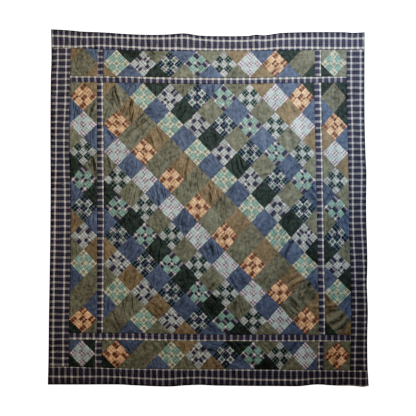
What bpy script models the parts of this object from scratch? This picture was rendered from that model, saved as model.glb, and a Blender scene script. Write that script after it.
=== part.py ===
# Patchwork quilt, laid out flat and seen face on.
# Metres, +Z up. It lies on its flat underside at z = 0, with the head end towards +Y.
# Nine-patch blocks set on point fill a centre field and a ring of panels around it. Plaid
# sashing parts the panels, and a wider plaid border with a turned edge goes around the outside.

import math

import bmesh
import bpy

MM = 0.001

# Driving sizes, in millimetres
PIECE_GAP = 0.3           # between two pieces that lie seam to seam
SEAM_HEIGHT = 4.4         # the quilt's thickness where a seam pulls it down
PATCH_CROWN = 7.6         # the middle of a small patch
SQUARE_CROWN = 8.8        # the middle of a whole square
STRIP_CROWN = 6.6         # the middle of the sashing
BORDER_CROWN = 7.4        # the middle of the border
BORDER_SHOULDER = 6.6     # the border halfway between its middle and its seam
OUTER_EDGE = 3.4          # the turned edge around the outside
SWELL = 0.5               # slow rise and fall of the batting over the whole quilt
SWELL_LENGTH_X = 990.0    # from one rise of the batting to the next
SWELL_LENGTH_Y = 1220.0
PLAID_PITCH = 41.4        # from one cross line of the plaid to the next

# A block is one square set on point, so its cell is a diamond's box. SUB steps across a cell
# put a mesh point on every seam crossing and in the middle of every small patch.
SUB = 6
FIELD_BLOCKS = (8, 9)     # across, down
WHOLE_EVERY = 8           # every eighth diagonal row of blocks is of whole squares
BORDER_ROWS = 4           # mesh rows across the border
SASH_ROWS = 2             # mesh rows across a sash

# Seams that run up the quilt: (y, x) from the head down, one row for each outer or panel seam
UP_SEAMS = {
    "outer_left": [(1200, -1069), (1010, -1067), (870, -1071), (530, -1074), (120, -1073),
                   (-280, -1076), (-620, -1082), (-1000, -1087), (-1205, -1091)],
    "border_left": [(1085, -935), (560, -944), (400, -944), (55, -935), (-490, -939),
                    (-830, -946), (-1078, -946)],
    "sash_left_out": [(1085, -753), (880, -753), (845, -756), (0, -755), (-860, -757),
                      (-912, -768), (-1085, -768)],
    "sash_left_in": [(1085, -714), (845, -714), (0, -710), (-860, -714), (-912, -722),
                     (-1085, -722)],
    "sash_right_in": [(1085, 724), (880, 724), (845, 719), (0, 737), (-860, 752),
                      (-912, 745), (-1085, 745)],
    "sash_right_out": [(1085, 765), (845, 765), (0, 780), (-860, 792), (-912, 782),
                       (-1085, 782)],
    "border_right": [(1075, 939), (730, 939), (530, 945), (120, 954), (-150, 956),
                     (-390, 965), (-560, 969), (-830, 969), (-1100, 962)],
    "outer_right": [(1200, 1064), (600, 1064), (340, 1071), (240, 1076), (0, 1074),
                    (-360, 1082), (-520, 1079), (-700, 1085), (-900, 1081), (-1090, 1084),
                    (-1205, 1091)],
}

# Seams that run across the quilt: (x, y) from the left
CROSS_SEAMS = {
    "outer_head": [(-1071, 1216), (-1031, 1214), (-922, 1207), (-868, 1201), (-705, 1194),
                   (-542, 1183), (-379, 1178), (-270, 1181), (-162, 1188), (-53, 1173),
                   (110, 1169), (273, 1171), (327, 1179), (382, 1175), (490, 1190),
                   (653, 1196), (925, 1196), (979, 1192), (1064, 1196)],
    "border_head": [(-1070, 1090), (-930, 1086), (-400, 1067), (150, 1067), (600, 1071),
                    (960, 1076), (1065, 1077)],
    "sash_head_out": [(-940, 896), (-700, 894), (0, 886), (700, 890), (945, 893)],
    "sash_head_in": [(-940, 855), (-530, 849), (18, 842), (555, 848), (945, 852)],
    "sash_foot_in": [(-945, -846), (-530, -850), (18, -859), (555, -861), (968, -864)],
    "sash_foot_out": [(-945, -894), (0, -903), (968, -907)],
    "border_foot": [(-1088, -1076), (-939, -1078), (-396, -1093), (300, -1096),
                    (962, -1103), (1086, -1104)],
    "outer_foot": [(-1091, -1201), (-868, -1201), (-596, -1201), (-488, -1207),
                   (-270, -1214), (-162, -1207), (-53, -1203), (56, -1208), (490, -1211),
                   (599, -1212), (650, -1209), (707, -1202), (762, -1201), (870, -1208),
                   (979, -1209), (1050, -1216), (1091, -1209)],
}

# Lines through the middles of the plain squares, which part one block's cell from the next.
# Columns have x at the head, the middle and the foot of the field, rows y at left, middle, right.
FIELD_Y = (660, 0, -665)
FIELD_COLUMNS = [
    (-530, -519, -530),
    (-353, -339, -342),
    (-168, -161, -158),
    (16, 19, 26),
    (195, 202, 211),
    (367, 380, 399),
    (543, 559, 573),
]
FIELD_X = (-530, 18, 555)
FIELD_ROWS = [
    (660, 654, 649),
    (478, 471, 461),
    (288, 286, 281),
    (97, 102, 90),
    (-94, -92, -99),
    (-281, -292, -302),
    (-470, -485, -478),
    (-666, -676, -665),
]

# Main creases: middle x and y, length, direction in degrees, width and height
CREASES = [
    (-628, 770, 210, 91, 34, 2.6),
    (-596, 780, 190, 94, 30, 2.2),
    (-519, 665, 150, 70, 34, 2.4),
    (-345, 630, 130, 14, 34, 2.2),
    (-464, 543, 150, 40, 40, 2.2),
    (-360, 440, 160, 100, 36, 2.4),
    (-155, 265, 160, 118, 36, 2.2),
    (-340, 115, 150, 104, 34, 2.4),
    (385, 450, 170, 101, 34, 2.6),
    (548, 661, 180, 106, 36, 2.6),
    (590, 250, 120, 25, 34, 1.8),
    (330, -430, 150, 60, 34, 2.0),
    (609, -495, 150, 28, 36, 2.4),
    (880, -745, 190, 24, 36, 2.6),
    (-572, -658, 170, 95, 36, 2.2),
    (600, -1165, 110, 62, 30, 2.2),
]

COLOURS = {
    "field": ((0.115, 0.135, 0.115, 1.0), 0.85),
    "panel": ((0.125, 0.145, 0.150, 1.0), 0.85),
    "corner": ((0.130, 0.140, 0.110, 1.0), 0.85),
    "sash": ((0.060, 0.055, 0.085, 1.0), 0.80),
    "border": ((0.048, 0.045, 0.072, 1.0), 0.80),
}


def clear_scene():
    for found in list(bpy.data.objects):
        bpy.data.objects.remove(found, do_unlink=True)


def smooth_line(stations):
    """A seam's place along its stations, as a smooth curve that keeps its end value past both ends."""
    stations = sorted(stations)
    count = len(stations)
    slopes = []
    for i in range(count):
        before = stations[max(i - 1, 0)]
        after = stations[min(i + 1, count - 1)]
        slopes.append((after[1] - before[1]) / (after[0] - before[0]))

    def place(along):
        if along <= stations[0][0]:
            return stations[0][1]
        if along >= stations[-1][0]:
            return stations[-1][1]
        i = max(k for k in range(count - 1) if stations[k][0] <= along)
        (start, low), (end, high) = stations[i], stations[i + 1]
        span = end - start
        t = (along - start) / span
        rise = (2 * t**3 - 3 * t**2 + 1) * low + (3 * t**2 - 2 * t**3) * high
        lean = (t**3 - 2 * t**2 + t) * slopes[i] + (t**3 - t**2) * slopes[i + 1]
        return rise + lean * span

    return place


UP = {name: smooth_line(stations) for name, stations in UP_SEAMS.items()}
CROSS = {name: smooth_line(stations) for name, stations in CROSS_SEAMS.items()}
COLUMN_LINES = [smooth_line(list(zip(FIELD_Y, row))) for row in FIELD_COLUMNS]
ROW_LINES = [smooth_line(list(zip(FIELD_X, row))) for row in FIELD_ROWS]


def between(low, high, share):
    return low + (high - low) * share


def spot(lines_up, lines_across, a, b):
    """Where line a of lines_up crosses line b of lines_across; both may lie between two lines."""
    i = min(int(a), len(lines_up) - 2)
    j = min(int(b), len(lines_across) - 2)
    x, y = 0.0, lines_across[j](0.0)
    for _ in range(5):
        x = between(lines_up[i](y), lines_up[i + 1](y), a - i)
        y = between(lines_across[j](x), lines_across[j + 1](x), b - j)
    return x, y


def unevenness(x, y):
    """Height in millimetres that the batting's slow swell and the main creases add."""
    wave_x = math.sin(math.tau * x / SWELL_LENGTH_X)
    wave_y = math.cos(math.tau * y / SWELL_LENGTH_Y)
    height = SWELL * wave_x * wave_y
    for cx, cy, length, angle, width, crest in CREASES:
        turn = math.radians(angle)
        along = (x - cx) * math.cos(turn) + (y - cy) * math.sin(turn)
        aside = (y - cy) * math.cos(turn) - (x - cx) * math.sin(turn)
        if abs(along) < length / 2:
            fade = math.cos(math.pi * along / length) ** 2
            height += crest * fade * math.exp(-((aside / width * 2) ** 2))
    return height


def dome(share):
    return math.sqrt(max(0.0, 1.0 - share * share))


def block_height(m, n, whole):
    """Height at mesh point m, n of the cells. whole(i, j) says that block i, j is one square."""
    half = SUB // 2
    p, q = m - half, n - half
    diagonal_up, diagonal_down = p + q, p - q
    s = round(diagonal_up / SUB)
    t = round(diagonal_down / SUB)
    ds = diagonal_up - SUB * s
    dt = diagonal_down - SUB * t
    if abs(ds) == half or abs(dt) == half:
        return SEAM_HEIGHT
    is_block = (s + t) % 2 == 0
    if is_block and not whole((s + t) // 2, (s - t) // 2):
        return PATCH_CROWN if ds % 2 == 0 else SEAM_HEIGHT
    puff = dome(ds / half) * dome(dt / half)
    return between(SEAM_HEIGHT, SQUARE_CROWN, puff)


def split_faces(bm, grid_of):
    """Cuts each face along the diagonal that lies on a seam, from the points whose sum is odd."""
    for face in list(bm.faces):
        odd = [v for v in face.verts if sum(grid_of[v.index]) % 2 == 1]
        bmesh.utils.face_split(face, odd[0], odd[1])


def close_below(bm):
    """Drops a wall from the rim to the ground and closes the flat underside."""
    rim = [edge for edge in bm.edges if edge.is_boundary]
    made = bmesh.ops.extrude_edge_only(bm, edges=rim)["geom"]
    for v in made:
        if isinstance(v, bmesh.types.BMVert):
            v.co.z = 0.0
    lowest = [edge for edge in bm.edges if edge.is_boundary]
    bmesh.ops.edgeloop_fill(bm, edges=lowest)
    bmesh.ops.recalc_face_normals(bm, faces=bm.faces)


def material(name, kind):
    colour, roughness = COLOURS[kind]
    made = bpy.data.materials.new(name)
    made.use_nodes = True
    shader = made.node_tree.nodes["Principled BSDF"]
    shader.inputs["Base Color"].default_value = colour
    shader.inputs["Roughness"].default_value = roughness
    shader.inputs["Metallic"].default_value = 0.0
    made.diffuse_color = colour
    return made


def inset(lines):
    """The same lines, with the first and last drawn in by half the gap between pieces."""
    half = PIECE_GAP / 2
    step = half if lines[-1](0.0) > lines[0](0.0) else -half
    first, last = lines[0], lines[-1]
    return [lambda at: first(at) + step] + list(lines[1:-1]) + [lambda at: last(at) - step]


def piece(name, kind, collection, up, across, steps, height_at):
    """One cut piece between its seams. steps are mesh steps from line to line, height_at the top."""
    count_a = (len(up) - 1) * steps[0]
    count_b = (len(across) - 1) * steps[1]
    bpy.ops.mesh.primitive_grid_add(x_subdivisions=count_a, y_subdivisions=count_b, size=1)
    made = bpy.context.object
    made.name = name
    made.data.name = name
    bm = bmesh.new()
    bm.from_mesh(made.data)
    bm.verts.index_update()
    grid_of = {}
    up_lines, cross_lines = inset(up), inset(across)
    for v in bm.verts:
        m = round((v.co.x + 0.5) * count_a)
        n = round((v.co.y + 0.5) * count_b)
        grid_of[v.index] = (m, n)
        x, y = spot(up_lines, cross_lines, m / steps[0], n / steps[1])
        z = height_at(m, n, m in (0, count_a) or n in (0, count_b)) + unevenness(x, y)
        v.co = (x * MM, y * MM, z * MM)
    split_faces(bm, grid_of)
    close_below(bm)
    bm.to_mesh(made.data)
    bm.free()
    made.data.materials.append(material(name + "_cloth", kind))
    for home in list(made.users_collection):
        home.objects.unlink(made)
    collection.objects.link(made)
    return made


def patchwork(name, kind, collection, up, across, first):
    """Blocks on point, whose lowest left block is block first of the whole quilt's count."""
    column, row = first

    def whole(i, j):
        return is_whole(column + i, row + j)

    def top(m, n, on_rim):
        return SEAM_HEIGHT if on_rim else block_height(m, n, whole)

    return piece(name, kind, collection, up, across, (SUB, SUB), top)


def is_whole(i, j):
    """Whether block i, j lies in a diagonal row of whole squares, which aren't pieced.
    i counts from the field's left, j from its foot, and the panels are at -1 and one past."""
    down = FIELD_BLOCKS[1] - 1 - j
    return (down - i) % WHOLE_EVERY == 0


def sash(name, collection, up, across, lengthwise):
    """A sash runs up where lengthwise is 1 and across where it is 0."""
    def top(m, n, on_rim):
        return SEAM_HEIGHT if on_rim else STRIP_CROWN

    steps = strip_steps(up, across, lengthwise, SASH_ROWS)
    return piece(name, "sash", collection, up, across, steps, top)


def strip_steps(up, across, lengthwise, rows):
    """Mesh steps of a strip: rows across it, and one for each cross line of its plaid."""
    lines = across if lengthwise else up
    long_way = abs(lines[-1](0.0) - lines[0](0.0))
    along = max(2, round(long_way / PLAID_PITCH))
    return (rows, along) if lengthwise else (along, rows)


def border(name, collection, up, across, lengthwise, outer):
    """A border strip, whose outer edge is its first line where outer is 0, or its last line."""
    steps = strip_steps(up, across, lengthwise, BORDER_ROWS)
    heights = [OUTER_EDGE, BORDER_SHOULDER, BORDER_CROWN, BORDER_SHOULDER, SEAM_HEIGHT]
    along_count = steps[1] if lengthwise else steps[0]

    def top(m, n, on_rim):
        aside, along = (m, n) if lengthwise else (n, m)
        level = heights[BORDER_ROWS - aside] if outer else heights[aside]
        if along in (0, along_count):
            return min(level, SEAM_HEIGHT if lengthwise else OUTER_EDGE)
        return level

    return piece(name, "border", collection, up, across, steps, top)


def build():
    clear_scene()
    quilt = bpy.data.collections.new("patchwork_quilt")
    bpy.context.scene.collection.children.link(quilt)

    across_count, down_count = FIELD_BLOCKS
    columns = [UP["sash_left_in"]] + COLUMN_LINES + [UP["sash_right_in"]]
    rows = [CROSS["sash_foot_in"]] + ROW_LINES[::-1] + [CROSS["sash_head_in"]]
    left = [UP["border_left"], UP["sash_left_out"]]
    right = [UP["sash_right_out"], UP["border_right"]]
    head = [CROSS["sash_head_out"], CROSS["border_head"]]
    foot = [CROSS["border_foot"], CROSS["sash_foot_out"]]

    patchwork("centre_field", "field", quilt, columns, rows, (0, 0))
    patchwork("head_panel", "panel", quilt, columns, head, (0, down_count))
    patchwork("foot_panel", "panel", quilt, columns, foot, (0, -1))
    patchwork("left_panel", "panel", quilt, left, rows, (-1, 0))
    patchwork("right_panel", "panel", quilt, right, rows, (across_count, 0))
    patchwork("corner_head_left", "corner", quilt, left, head, (-1, down_count))
    patchwork("corner_head_right", "corner", quilt, right, head, (across_count, down_count))
    patchwork("corner_foot_left", "corner", quilt, left, foot, (-1, -1))
    patchwork("corner_foot_right", "corner", quilt, right, foot, (across_count, -1))

    panel_to_panel = [UP["border_left"], UP["border_right"]]
    field_rows = [CROSS["sash_foot_in"], CROSS["sash_head_in"]]
    left_sash = [UP["sash_left_out"], UP["sash_left_in"]]
    right_sash = [UP["sash_right_in"], UP["sash_right_out"]]
    sash("sash_head", quilt, panel_to_panel, [CROSS["sash_head_in"], CROSS["sash_head_out"]], 0)
    sash("sash_foot", quilt, panel_to_panel, [CROSS["sash_foot_out"], CROSS["sash_foot_in"]], 0)
    sash("sash_left", quilt, left_sash, field_rows, 1)
    sash("sash_right", quilt, right_sash, field_rows, 1)
    sash("short_sash_head_left", quilt, left_sash, head, 1)
    sash("short_sash_head_right", quilt, right_sash, head, 1)
    sash("short_sash_foot_left", quilt, left_sash, foot, 1)
    sash("short_sash_foot_right", quilt, right_sash, foot, 1)

    whole_width = [UP["outer_left"], UP["outer_right"]]
    inside = [CROSS["border_foot"], CROSS["border_head"]]
    border("border_head", quilt, whole_width, [CROSS["border_head"], CROSS["outer_head"]], 0, 1)
    border("border_foot", quilt, whole_width, [CROSS["outer_foot"], CROSS["border_foot"]], 0, 0)
    border("border_left", quilt, [UP["outer_left"], UP["border_left"]], inside, 1, 0)
    border("border_right", quilt, [UP["border_right"], UP["outer_right"]], inside, 1, 1)


build()
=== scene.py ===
# The patchwork quilt's finished cloth, its light and its camera.
# Every cut piece of the quilt is made again here on a finer mesh, on the same seams as its
# plain solid. Sizes are in millimetres, +Z up, until a mesh is made from them in metres.

import math

import bmesh
import bpy
import numpy as np
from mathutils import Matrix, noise


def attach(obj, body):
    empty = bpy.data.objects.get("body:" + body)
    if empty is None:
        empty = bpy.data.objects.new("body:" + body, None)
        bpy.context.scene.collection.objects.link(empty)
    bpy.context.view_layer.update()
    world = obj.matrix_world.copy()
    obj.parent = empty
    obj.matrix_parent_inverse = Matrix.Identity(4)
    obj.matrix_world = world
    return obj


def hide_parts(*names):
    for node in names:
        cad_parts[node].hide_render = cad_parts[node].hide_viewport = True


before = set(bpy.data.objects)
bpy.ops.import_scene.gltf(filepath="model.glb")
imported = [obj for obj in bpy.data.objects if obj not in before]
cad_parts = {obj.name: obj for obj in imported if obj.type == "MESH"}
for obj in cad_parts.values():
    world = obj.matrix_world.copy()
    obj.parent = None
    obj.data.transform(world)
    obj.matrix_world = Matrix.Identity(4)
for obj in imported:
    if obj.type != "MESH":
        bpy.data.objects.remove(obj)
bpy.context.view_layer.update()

MM = 0.001

# Heights of the cloth above the surface it lies on
PIECE_GAP = 0.3           # between two pieces that lie seam to seam
SEAM_HEIGHT = 4.4         # where a seam pulls the quilt down
PATCH_CROWN = 6.2         # the middle of a small patch
SQUARE_CROWN = 7.8        # the middle of a whole square
STRIP_CROWN = 6.6         # the middle of the sashing
BORDER_CROWN = 7.4        # the middle of the border
BORDER_LIP = 1.3          # the turned edge around the outside
SWELL = 0.5               # slow rise and fall of the batting over the whole quilt
SWELL_LENGTH_X = 990.0
SWELL_LENGTH_Y = 1220.0

# Mesh
STEPS = 24                # along one side of a square, a multiple of six
SQUARE_SIDE = 131.0       # of a block or a setting square
PATCHES = 3               # small patches along one side of a block
STRIP_STEP = 5.2          # along and across the sashing and the border
BORDER_EDGE_ROWS = (0.0, 1.0, 2.5, 4.5, 7.0, 9.5)   # from the turned edge inwards

# Seams that run up the quilt: (y, x) from the head down
UP_SEAMS = {
    "outer_left": [(1200, -1069), (1010, -1067), (870, -1071), (530, -1074), (120, -1073),
                   (-280, -1076), (-620, -1082), (-1000, -1087), (-1205, -1091)],
    "border_left": [(1085, -935), (560, -944), (400, -944), (55, -935), (-490, -939),
                    (-830, -946), (-1078, -946)],
    "sash_left_out": [(1085, -753), (880, -753), (845, -756), (0, -755), (-860, -757),
                      (-912, -768), (-1085, -768)],
    "sash_left_in": [(1085, -714), (845, -714), (0, -710), (-860, -714), (-912, -722),
                     (-1085, -722)],
    "sash_right_in": [(1085, 724), (880, 724), (845, 719), (0, 737), (-860, 752),
                      (-912, 745), (-1085, 745)],
    "sash_right_out": [(1085, 765), (845, 765), (0, 780), (-860, 792), (-912, 782),
                       (-1085, 782)],
    "border_right": [(1075, 939), (730, 939), (530, 945), (120, 954), (-150, 956),
                     (-390, 965), (-560, 969), (-830, 969), (-1100, 962)],
    "outer_right": [(1200, 1064), (600, 1064), (340, 1071), (240, 1076), (0, 1074),
                    (-360, 1082), (-520, 1079), (-700, 1085), (-900, 1081), (-1090, 1084),
                    (-1205, 1091)],
}

# Seams that run across the quilt: (x, y) from the left
CROSS_SEAMS = {
    "outer_head": [(-1071, 1216), (-1031, 1214), (-922, 1207), (-868, 1201), (-705, 1194),
                   (-542, 1183), (-379, 1178), (-270, 1181), (-162, 1188), (-53, 1173),
                   (110, 1169), (273, 1171), (327, 1179), (382, 1175), (490, 1190),
                   (653, 1196), (925, 1196), (979, 1192), (1064, 1196)],
    "border_head": [(-1070, 1090), (-930, 1086), (-400, 1067), (150, 1067), (600, 1071),
                    (960, 1076), (1065, 1077)],
    "sash_head_out": [(-940, 896), (-700, 894), (0, 886), (700, 890), (945, 893)],
    "sash_head_in": [(-940, 855), (-530, 849), (18, 842), (555, 848), (945, 852)],
    "sash_foot_in": [(-945, -846), (-530, -850), (18, -859), (555, -861), (968, -864)],
    "sash_foot_out": [(-945, -894), (0, -903), (968, -907)],
    "border_foot": [(-1088, -1076), (-939, -1078), (-396, -1093), (300, -1096),
                    (962, -1103), (1086, -1104)],
    "outer_foot": [(-1091, -1201), (-868, -1201), (-596, -1201), (-488, -1207),
                   (-270, -1214), (-162, -1207), (-53, -1203), (56, -1208), (490, -1211),
                   (599, -1212), (650, -1209), (707, -1202), (762, -1201), (870, -1208),
                   (979, -1209), (1050, -1216), (1091, -1209)],
}

# Lines through the middles of the setting squares, which part one block's cell from the next.
# Columns have x at the head, the middle and the foot of the field, rows y at left, middle, right.
FIELD_Y = (660, 0, -665)
FIELD_COLUMNS = [
    (-530, -519, -530),
    (-353, -339, -342),
    (-168, -161, -158),
    (16, 19, 26),
    (195, 202, 211),
    (367, 380, 399),
    (543, 559, 573),
]
FIELD_X = (-530, 18, 555)
FIELD_ROWS = [
    (660, 654, 649),
    (478, 471, 461),
    (288, 286, 281),
    (97, 102, 90),
    (-94, -92, -99),
    (-281, -292, -302),
    (-470, -485, -478),
    (-666, -676, -665),
]
FIELD_BLOCKS = (8, 9)     # across, down

# Main creases: middle x and y, length, direction in degrees, width and height. Ridges have a
# height above nought, and the hollows between them one below it.
CREASES = [
    (-628, 770, 210, 91, 34, 2.6),
    (-596, 780, 190, 94, 30, 2.2),
    (-519, 665, 150, 70, 34, 2.4),
    (-345, 630, 130, 14, 34, 2.2),
    (-464, 543, 150, 40, 40, 2.2),
    (-360, 440, 160, 100, 36, 2.4),
    (-155, 265, 160, 118, 36, 2.2),
    (-340, 115, 150, 104, 34, 2.4),
    (385, 450, 170, 101, 34, 2.6),
    (548, 661, 180, 106, 36, 2.6),
    (590, 250, 120, 25, 34, 1.8),
    (330, -430, 150, 60, 34, 2.0),
    (609, -495, 150, 28, 36, 2.4),
    (880, -745, 190, 24, 36, 2.6),
    (-572, -658, 170, 95, 36, 1.8),
    (600, -1165, 110, 62, 30, 2.2),
    (-618, 742, 130, 105, 22, -2.6),
    (-652, 748, 110, 92, 20, -2.2),
    (-540, 676, 125, 70, 22, -2.6),
    (-522, 622, 80, 75, 20, -1.8),
    (-570, 660, 60, 100, 20, -1.6),
    (-785, 682, 130, 71, 22, -2.2),
    (-900, 665, 70, 88, 20, -1.6),
    (-475, 560, 80, 50, 20, -1.8),
    (-425, 590, 80, 150, 20, -1.6),
    (-355, 616, 90, 2, 20, -1.8),
    (-365, 1045, 100, 135, 18, -1.6),
    (-392, 1042, 70, 135, 18, -1.4),
    (-550, 1052, 110, 155, 22, -1.8),
    (-535, 950, 85, 160, 20, -1.6),
    (-560, 812, 70, 92, 20, -1.6),
    (-5, 800, 60, 88, 20, -1.4),
    (25, 795, 75, 88, 20, -1.6),
    (75, 665, 50, 105, 18, -1.4),
    (578, 670, 90, 110, 22, -2.0),
    (552, 622, 70, 105, 20, -1.8),
    (855, 730, 90, 95, 24, -1.6),
    (-665, 498, 80, 135, 20, -2.0),
    (-780, 500, 70, 92, 20, -1.8),
    (-780, 300, 100, 105, 22, -2.2),
    (-672, 295, 110, 105, 22, -2.2),
    (-785, 80, 80, 130, 26, 1.8),
    (-515, 150, 50, 115, 18, -1.6),
    (-565, 80, 100, 80, 20, -1.6),
    (-338, 130, 70, 125, 20, -2.6),
    (-330, 50, 70, 120, 26, 1.8),
    (-152, 265, 145, 79, 22, -2.8),
    (-125, 150, 50, 90, 20, -1.6),
    (210, 255, 95, 120, 22, -2.0),
    (68, 85, 85, 100, 20, -1.8),
    (45, 105, 80, 100, 26, 1.6),
    (398, 460, 90, 100, 20, -1.8),
    (535, 445, 100, 93, 26, 1.8),
    (375, 225, 70, 10, 20, -1.6),
    (415, 255, 80, 20, 26, 1.6),
    (550, 260, 100, 50, 24, 1.6),
    (550, 95, 110, 50, 24, 1.8),
    (690, 90, 100, 135, 22, -2.4),
    (715, 120, 80, 120, 20, -2.0),
    (805, 65, 110, 65, 20, -1.6),
    (925, -35, 80, 130, 20, -2.0),
    (-130, -52, 100, 82, 22, 2.2),
    (-165, -125, 90, 105, 20, -1.5),
    (-185, -165, 70, 45, 22, 1.6),
    (60, -262, 130, 117, 24, 2.4),
    (78, -285, 100, 112, 18, -2.2),
    (22, -280, 100, 112, 20, -1.6),
    (225, -480, 90, 128, 20, -2.0),
    (205, -455, 80, 128, 22, 1.6),
    (30, -465, 120, 35, 20, -1.4),
    (10, -540, 80, 35, 20, -1.4),
    (230, -265, 110, 58, 24, 1.4),
    (365, -95, 130, 46, 28, 2.2),
    (455, -185, 70, 118, 18, -1.6),
    (570, -290, 120, 65, 26, 2.0),
    (612, -280, 80, 112, 22, 1.8),
    (540, -260, 80, 60, 20, -1.6),
    (575, -478, 120, 40, 18, -1.6),
    (620, -505, 130, 14, 20, -2.0),
    (625, -570, 100, 30, 22, 1.8),
    (650, -545, 80, 35, 18, -1.8),
    (728, -455, 100, 75, 24, 1.8),
    (930, -90, 90, 112, 20, -1.6),
    (-578, -655, 130, 95, 20, -1.5),
    (-385, -722, 130, 134, 18, -1.2),
    (-530, -460, 110, 85, 20, -0.8),
    (-555, -950, 90, 130, 18, -1.6),
    (25, -655, 110, 112, 26, 1.8),
    (45, -705, 100, 122, 20, -2.4),
    (72, -632, 100, 135, 20, -2.2),
    (70, -800, 100, 160, 24, 1.8),
    (50, -818, 90, 160, 18, -1.6),
    (20, -935, 90, 172, 24, 1.6),
    (10, -962, 90, 168, 20, -1.6),
    (150, -930, 70, 130, 20, -1.8),
    (195, -1070, 110, 158, 24, 2.2),
    (212, -640, 80, 96, 20, -1.2),
    (570, -742, 110, 55, 24, 1.6),
    (590, -640, 70, 140, 18, -1.4),
    (850, -742, 130, 38, 22, 2.2),
    (870, -770, 120, 30, 18, -2.0),
    (895, -718, 90, 25, 22, 1.8),
    (700, -805, 80, 40, 22, 1.6),
    (425, -922, 70, 130, 18, -1.6),
    (560, -955, 100, 55, 20, -1.8),
    (560, -1060, 120, 45, 24, 2.2),
    (925, -705, 70, 60, 20, -1.6),
    (862, -718, 110, 33, 22, 2.2),
    (842, -700, 90, 12, 20, -2.2),
    (886, -742, 120, 30, 18, -2.4),
    (910, -765, 90, 48, 22, 2.2),
    (928, -786, 80, 48, 18, -2.2),
    (860, -806, 100, 34, 22, 2.2),
    (876, -828, 80, 26, 18, -2.0),
    (824, -775, 60, 40, 18, -1.8),
    (712, -612, 60, 84, 20, -2.0),
    (736, -664, 80, 5, 22, 2.0),
    (730, -683, 70, 0, 16, -1.6),
    (705, -715, 60, 60, 18, -1.8),
    (808, -615, 60, 120, 20, -1.8),
    (845, -650, 80, 20, 22, 2.0),
    (838, -672, 80, 10, 18, -1.6),
    (648, -562, 80, 62, 22, 2.4),
    (628, -578, 80, 60, 18, -2.2),
    (668, -548, 70, 60, 18, -1.8),
    (572, -498, 90, 30, 22, 2.2),
    (588, -522, 100, 28, 18, -2.2),
]
CREASE_RISE = 1.35        # how much higher than in the table the cloth's creases stand
FULL_CREASE = 2.3         # height of a crease whose painted shade or painted highlight is full
NARROW_CREASE = 22.0      # width of a crease whose painted shade or painted highlight is as its height says; wide ones get less
CREASE_SHADE = 0.55       # painted shade: how much light a hollow's colour loses
CREASE_SHEEN = 0.50        # painted highlight: how much paler a ridge's colour is, for its sheen
CREASE_STRETCH = 1.35     # length of a crease from where it starts to where it is lost in the cloth
CREASE_REACH = 105.0      # a square whose middle is this near to a crease gathers along it
CALM_SQUARE = 0.70        # drag lines of a square without a crease
SLACK_SQUARE = 1.55       # and of one that a crease crosses
LEAST_HEIGHT = 0.9
RIM_REACH = 26.0          # how far in from a panel's rim its patches are drawn down
SLACK_AT_LEFT = 0.80      # the drag lines' height at the left of the field, as a share
SLACK_AT_RIGHT = 0.60     # and at the right
SLACK_EDGE = 700.0        # from the middle to where those two are reached
DRAG_FADE = 22.0          # drag lines are lost this near to a seam
DRAG_RIM_FADE = 12.0      # and this near to a panel's rim
DRIFT = 16.0              # how far drag lines wander to the side
DRIFT_LENGTH = 120.0
SWAY = 2.2                # how far the weave wanders
SWAY_LENGTH = 48.0

# The plaid's pale cross lines in each strip: (place along the strip, number of the line)
CROSS_LINES = {
    "border_left": [(1044, 0), (541, 12), (3, 25), (-505, 37), (-1062, 50)],
    "border_right": [(1025, 0), (525, 12), (24, 24), (-483, 36), (-1067, 50)],
    "border_head": [(-1019, 0), (-507, 13), (25, 26), (550, 39), (1054, 52)],
    "border_foot": [(-1052, 0), (-513, 13), (28, 26), (561, 39), (1073, 52)],
    "sash_left": [(840, 0), (398, 10), (11, 19), (-425, 29), (-816, 38)],
    "sash_right": [(802, 0), (370, 10), (-32, 19), (-486, 29), (-849, 37)],
    "sash_head": [(-894, 0), (-472, 10), (-10, 21), (448, 32), (945, 44)],
    "sash_foot": [(-908, 0), (-466, 10), (-22, 20), (421, 30), (927, 42)],
    "short_sash_head_left": [(1067, 0), (901, 4)],
    "short_sash_head_right": [(1031, 0), (906, 3)],
    "short_sash_foot_left": [(-908, 0), (-1041, 3)],
    "short_sash_foot_right": [(-943, 0), (-1075, 3)],
}
CROSS_PITCH = 42.0        # the plaid's own distance from one cross line to the next
LONG_PITCH = 64.0         # and from one strong long line to the next

# The strong long lines of each border, as distances outwards from its inner seam:
# (place along the strip, distance)
BORDER_LONG_LINES = {
    "border_left": ([(945, 29), (735, 29), (525, 36), (0, 37), (-945, 37)],
                    [(945, 89), (525, 93), (315, 95), (105, 102), (-525, 105), (-945, 104)]),
    "border_right": ([(945, 30), (525, 33), (105, 26), (-315, 29), (-735, 35), (-945, 32)],
                     [(945, 91), (525, 89), (-105, 84), (-525, 96), (-945, 96)]),
    "border_head": ([(-918, 8), (-714, 24), (-306, 18), (102, 10), (306, 10), (510, 17),
                     (918, 10)],
                    [(-918, 74), (-510, 86), (-102, 84), (102, 76), (918, 73)]),
    "border_foot": ([(-918, 0), (918, 3)],
                    [(-918, 61), (-714, 58), (-306, 64), (-102, 58), (306, 68), (510, 69),
                     (714, 65), (918, 55)]),
}

# The one strong long line of each sash, from the sash's middle towards the right or the head
SASH_LONG_LINE = {
    "sash_left": [(735, 17), (315, 17), (105, 20), (-105, 22), (-315, 19), (-735, 16)],
    "sash_right": [(734, 17), (312, 19), (-322, 16), (-744, 18)],
    "sash_head": [(-813, 17), (-579, 19), (-346, 13), (122, 11), (356, 11), (823, 17)],
    "sash_foot": [(-812, -15), (-578, -14), (-342, -20), (128, -21), (832, -20)],
    "short_sash_head_left": [(1035, -18), (945, -20)],
    "short_sash_head_right": [(1025, 18), (939, 18)],
    "short_sash_foot_left": [(-942, -19), (-1028, -20)],
    "short_sash_foot_right": [(-957, -14), (-1051, -13)],
}

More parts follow.
